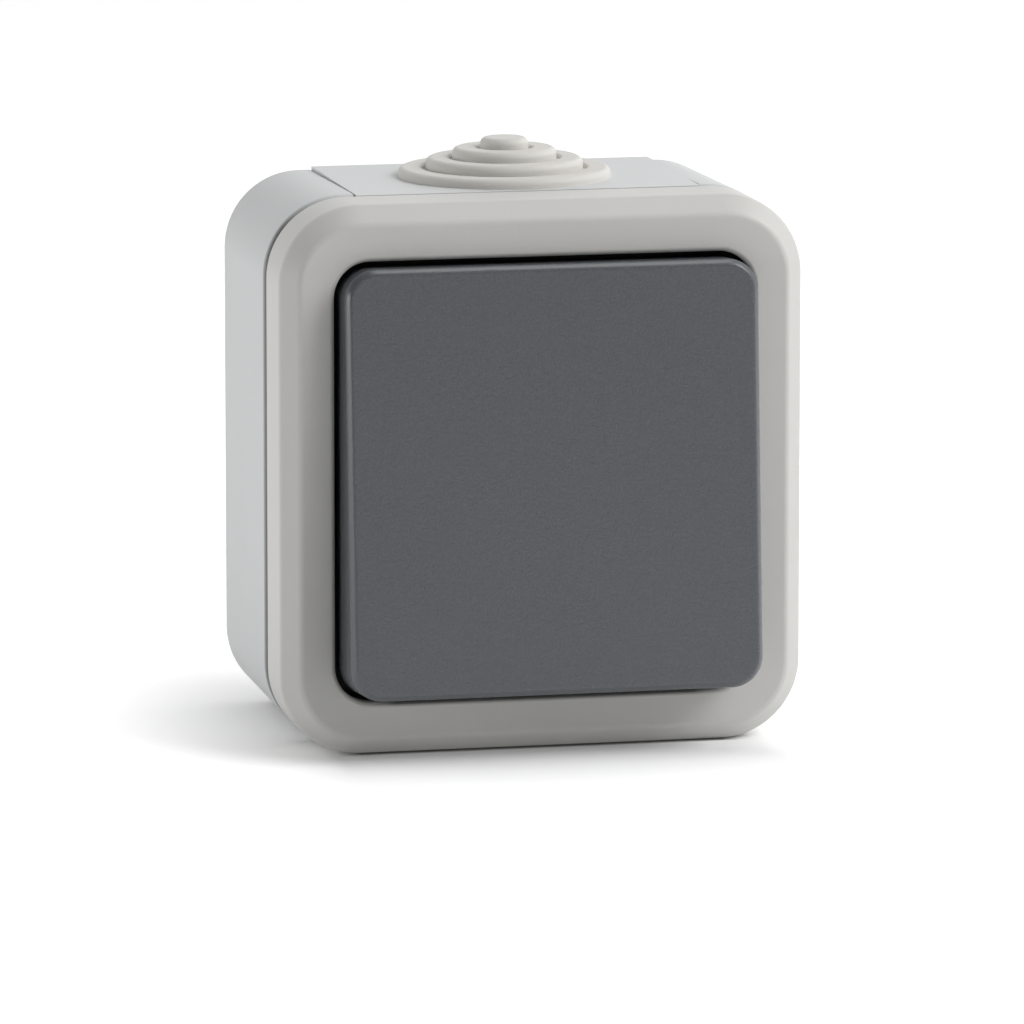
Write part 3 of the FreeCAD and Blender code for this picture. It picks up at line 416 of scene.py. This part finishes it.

# The eye and any gloss see the lifted paper; the other rays meet matt paper with the painted glow of light
# thrown back.
rays = add(paper, "ShaderNodeLightPath")
mirrored = add(paper, "ShaderNodeMath", {0: rays.outputs["Is Glossy Ray"],
                                         1: rays.outputs["Is Transmission Ray"]}, operation="MAXIMUM")
looked_at = add(paper, "ShaderNodeMath", {0: rays.outputs["Is Camera Ray"], 1: mirrored.outputs["Value"]},
                operation="MAXIMUM")
bright = add(paper, "ShaderNodeBsdfDiffuse", {"Color": paper_with_painted_shade.outputs["Result"]})
glow = add(paper, "ShaderNodeEmission", {"Color": linear("FFFFFF"), "Strength": lift.outputs["Value"]})
lifted = add(paper, "ShaderNodeAddShader", {0: bright.outputs["BSDF"], 1: glow.outputs["Emission"]})
matt = add(paper, "ShaderNodeBsdfDiffuse", {"Color": linear("F0F0F0")})
painted_bounce_glow = add(paper, "ShaderNodeEmission", {"Color": linear("FFFFFF"), "Strength": painted_bounce.outputs["Value"]})
matt_with_painted_bounce = add(paper, "ShaderNodeAddShader", {0: matt.outputs["BSDF"], 1: painted_bounce_glow.outputs["Emission"]})
seen = add(paper, "ShaderNodeMixShader", {0: looked_at.outputs["Value"], 1: matt_with_painted_bounce.outputs["Shader"],
                                          2: lifted.outputs["Shader"]})
add(paper, "ShaderNodeOutputMaterial", {"Surface": seen.outputs["Shader"]})
floor_mesh.materials.append(paper)


# Light.
# Soft box high at the front right, small panels overhead and on the left that draw the lights along the
# edges, and a room that is pale at its back and right and dark in front, where the camera stands.

def soft_box(name, spot, size, power):
    """A square panel of soft light that is turned to the middle of the switch."""
    aim = Vector((0, -20 * MM, 0))
    lamp = bpy.data.lights.new(name, "AREA")
    lamp.shape = "SQUARE"
    lamp.size = size
    lamp.energy = power
    holder = bpy.data.objects.new(name, lamp)
    turn = (aim - Vector(spot)).to_track_quat("-Z", "Y")
    holder.matrix_world = Matrix.Translation(spot) @ turn.to_matrix().to_4x4()
    bpy.context.collection.objects.link(holder)


soft_box("key_right", spot=(0.45, -0.30, 0.45), size=0.40, power=2.95)
soft_box("overhead", spot=(0.13, -0.05, 0.60), size=0.22, power=0.53)
soft_box("left", spot=(-0.63, -0.17, 0.09), size=0.22, power=0.88)
soft_box("back_left", spot=(-0.55, 0.30, 0.20), size=0.40, power=0.66)

back_light = 0.93
right_light = 0.86
room = bpy.data.worlds.new("pale_room")
room.use_nodes = True
room.node_tree.nodes.clear()
way = add(room, "ShaderNodeSeparateXYZ", {"Vector": add(room, "ShaderNodeTexCoord").outputs["Generated"]})
backward = add(room, "ShaderNodeMath", {0: way.outputs["Y"], 1: 0.0}, operation="MAXIMUM")
back_wall = add(room, "ShaderNodeMath", {0: backward.outputs["Value"], 1: back_light}, operation="MULTIPLY")
rightward = add(room, "ShaderNodeMath", {0: way.outputs["X"], 1: 0.0}, operation="MAXIMUM")
walls = add(room, "ShaderNodeMath", {0: rightward.outputs["Value"], 1: right_light,
                                     2: back_wall.outputs["Value"]}, operation="MULTIPLY_ADD")
air = add(room, "ShaderNodeBackground", {"Color": linear("FFFFFF"), "Strength": walls.outputs["Value"]})
add(room, "ShaderNodeOutputWorld", {"Surface": air.outputs["Background"]})
bpy.context.scene.world = room


# Camera.
# Long lens from the upper left, turned and raised as the photograph shows the switch, and so far away that
# the edges stay nearly parallel.

turn_left = math.radians(12.63)
look_down = math.radians(9.55)
distance = 1200 * MM
target = Vector((0, -28 * MM, 0))
off_right = 1.58 * MM
off_up = 6.30 * MM
ahead = Vector((math.sin(turn_left) * math.cos(look_down), math.cos(turn_left) * math.cos(look_down),
                -math.sin(look_down)))
right = Vector((math.cos(turn_left), -math.sin(turn_left), 0))
above = right.cross(ahead)
lens = bpy.data.cameras.new("camera")
lens.lens = 335.7
lens.sensor_width = 36.0
lens.clip_end = 20.0
camera = bpy.data.objects.new("camera", lens)
camera_spot = target - off_right * right - off_up * above - distance * ahead
camera_turn = Matrix((right, above, -ahead)).transposed().to_4x4()
camera.matrix_world = Matrix.Translation(camera_spot) @ camera_turn
bpy.context.collection.objects.link(camera)
bpy.context.scene.camera = camera
bpy.context.scene.view_settings.view_transform = "Standard"
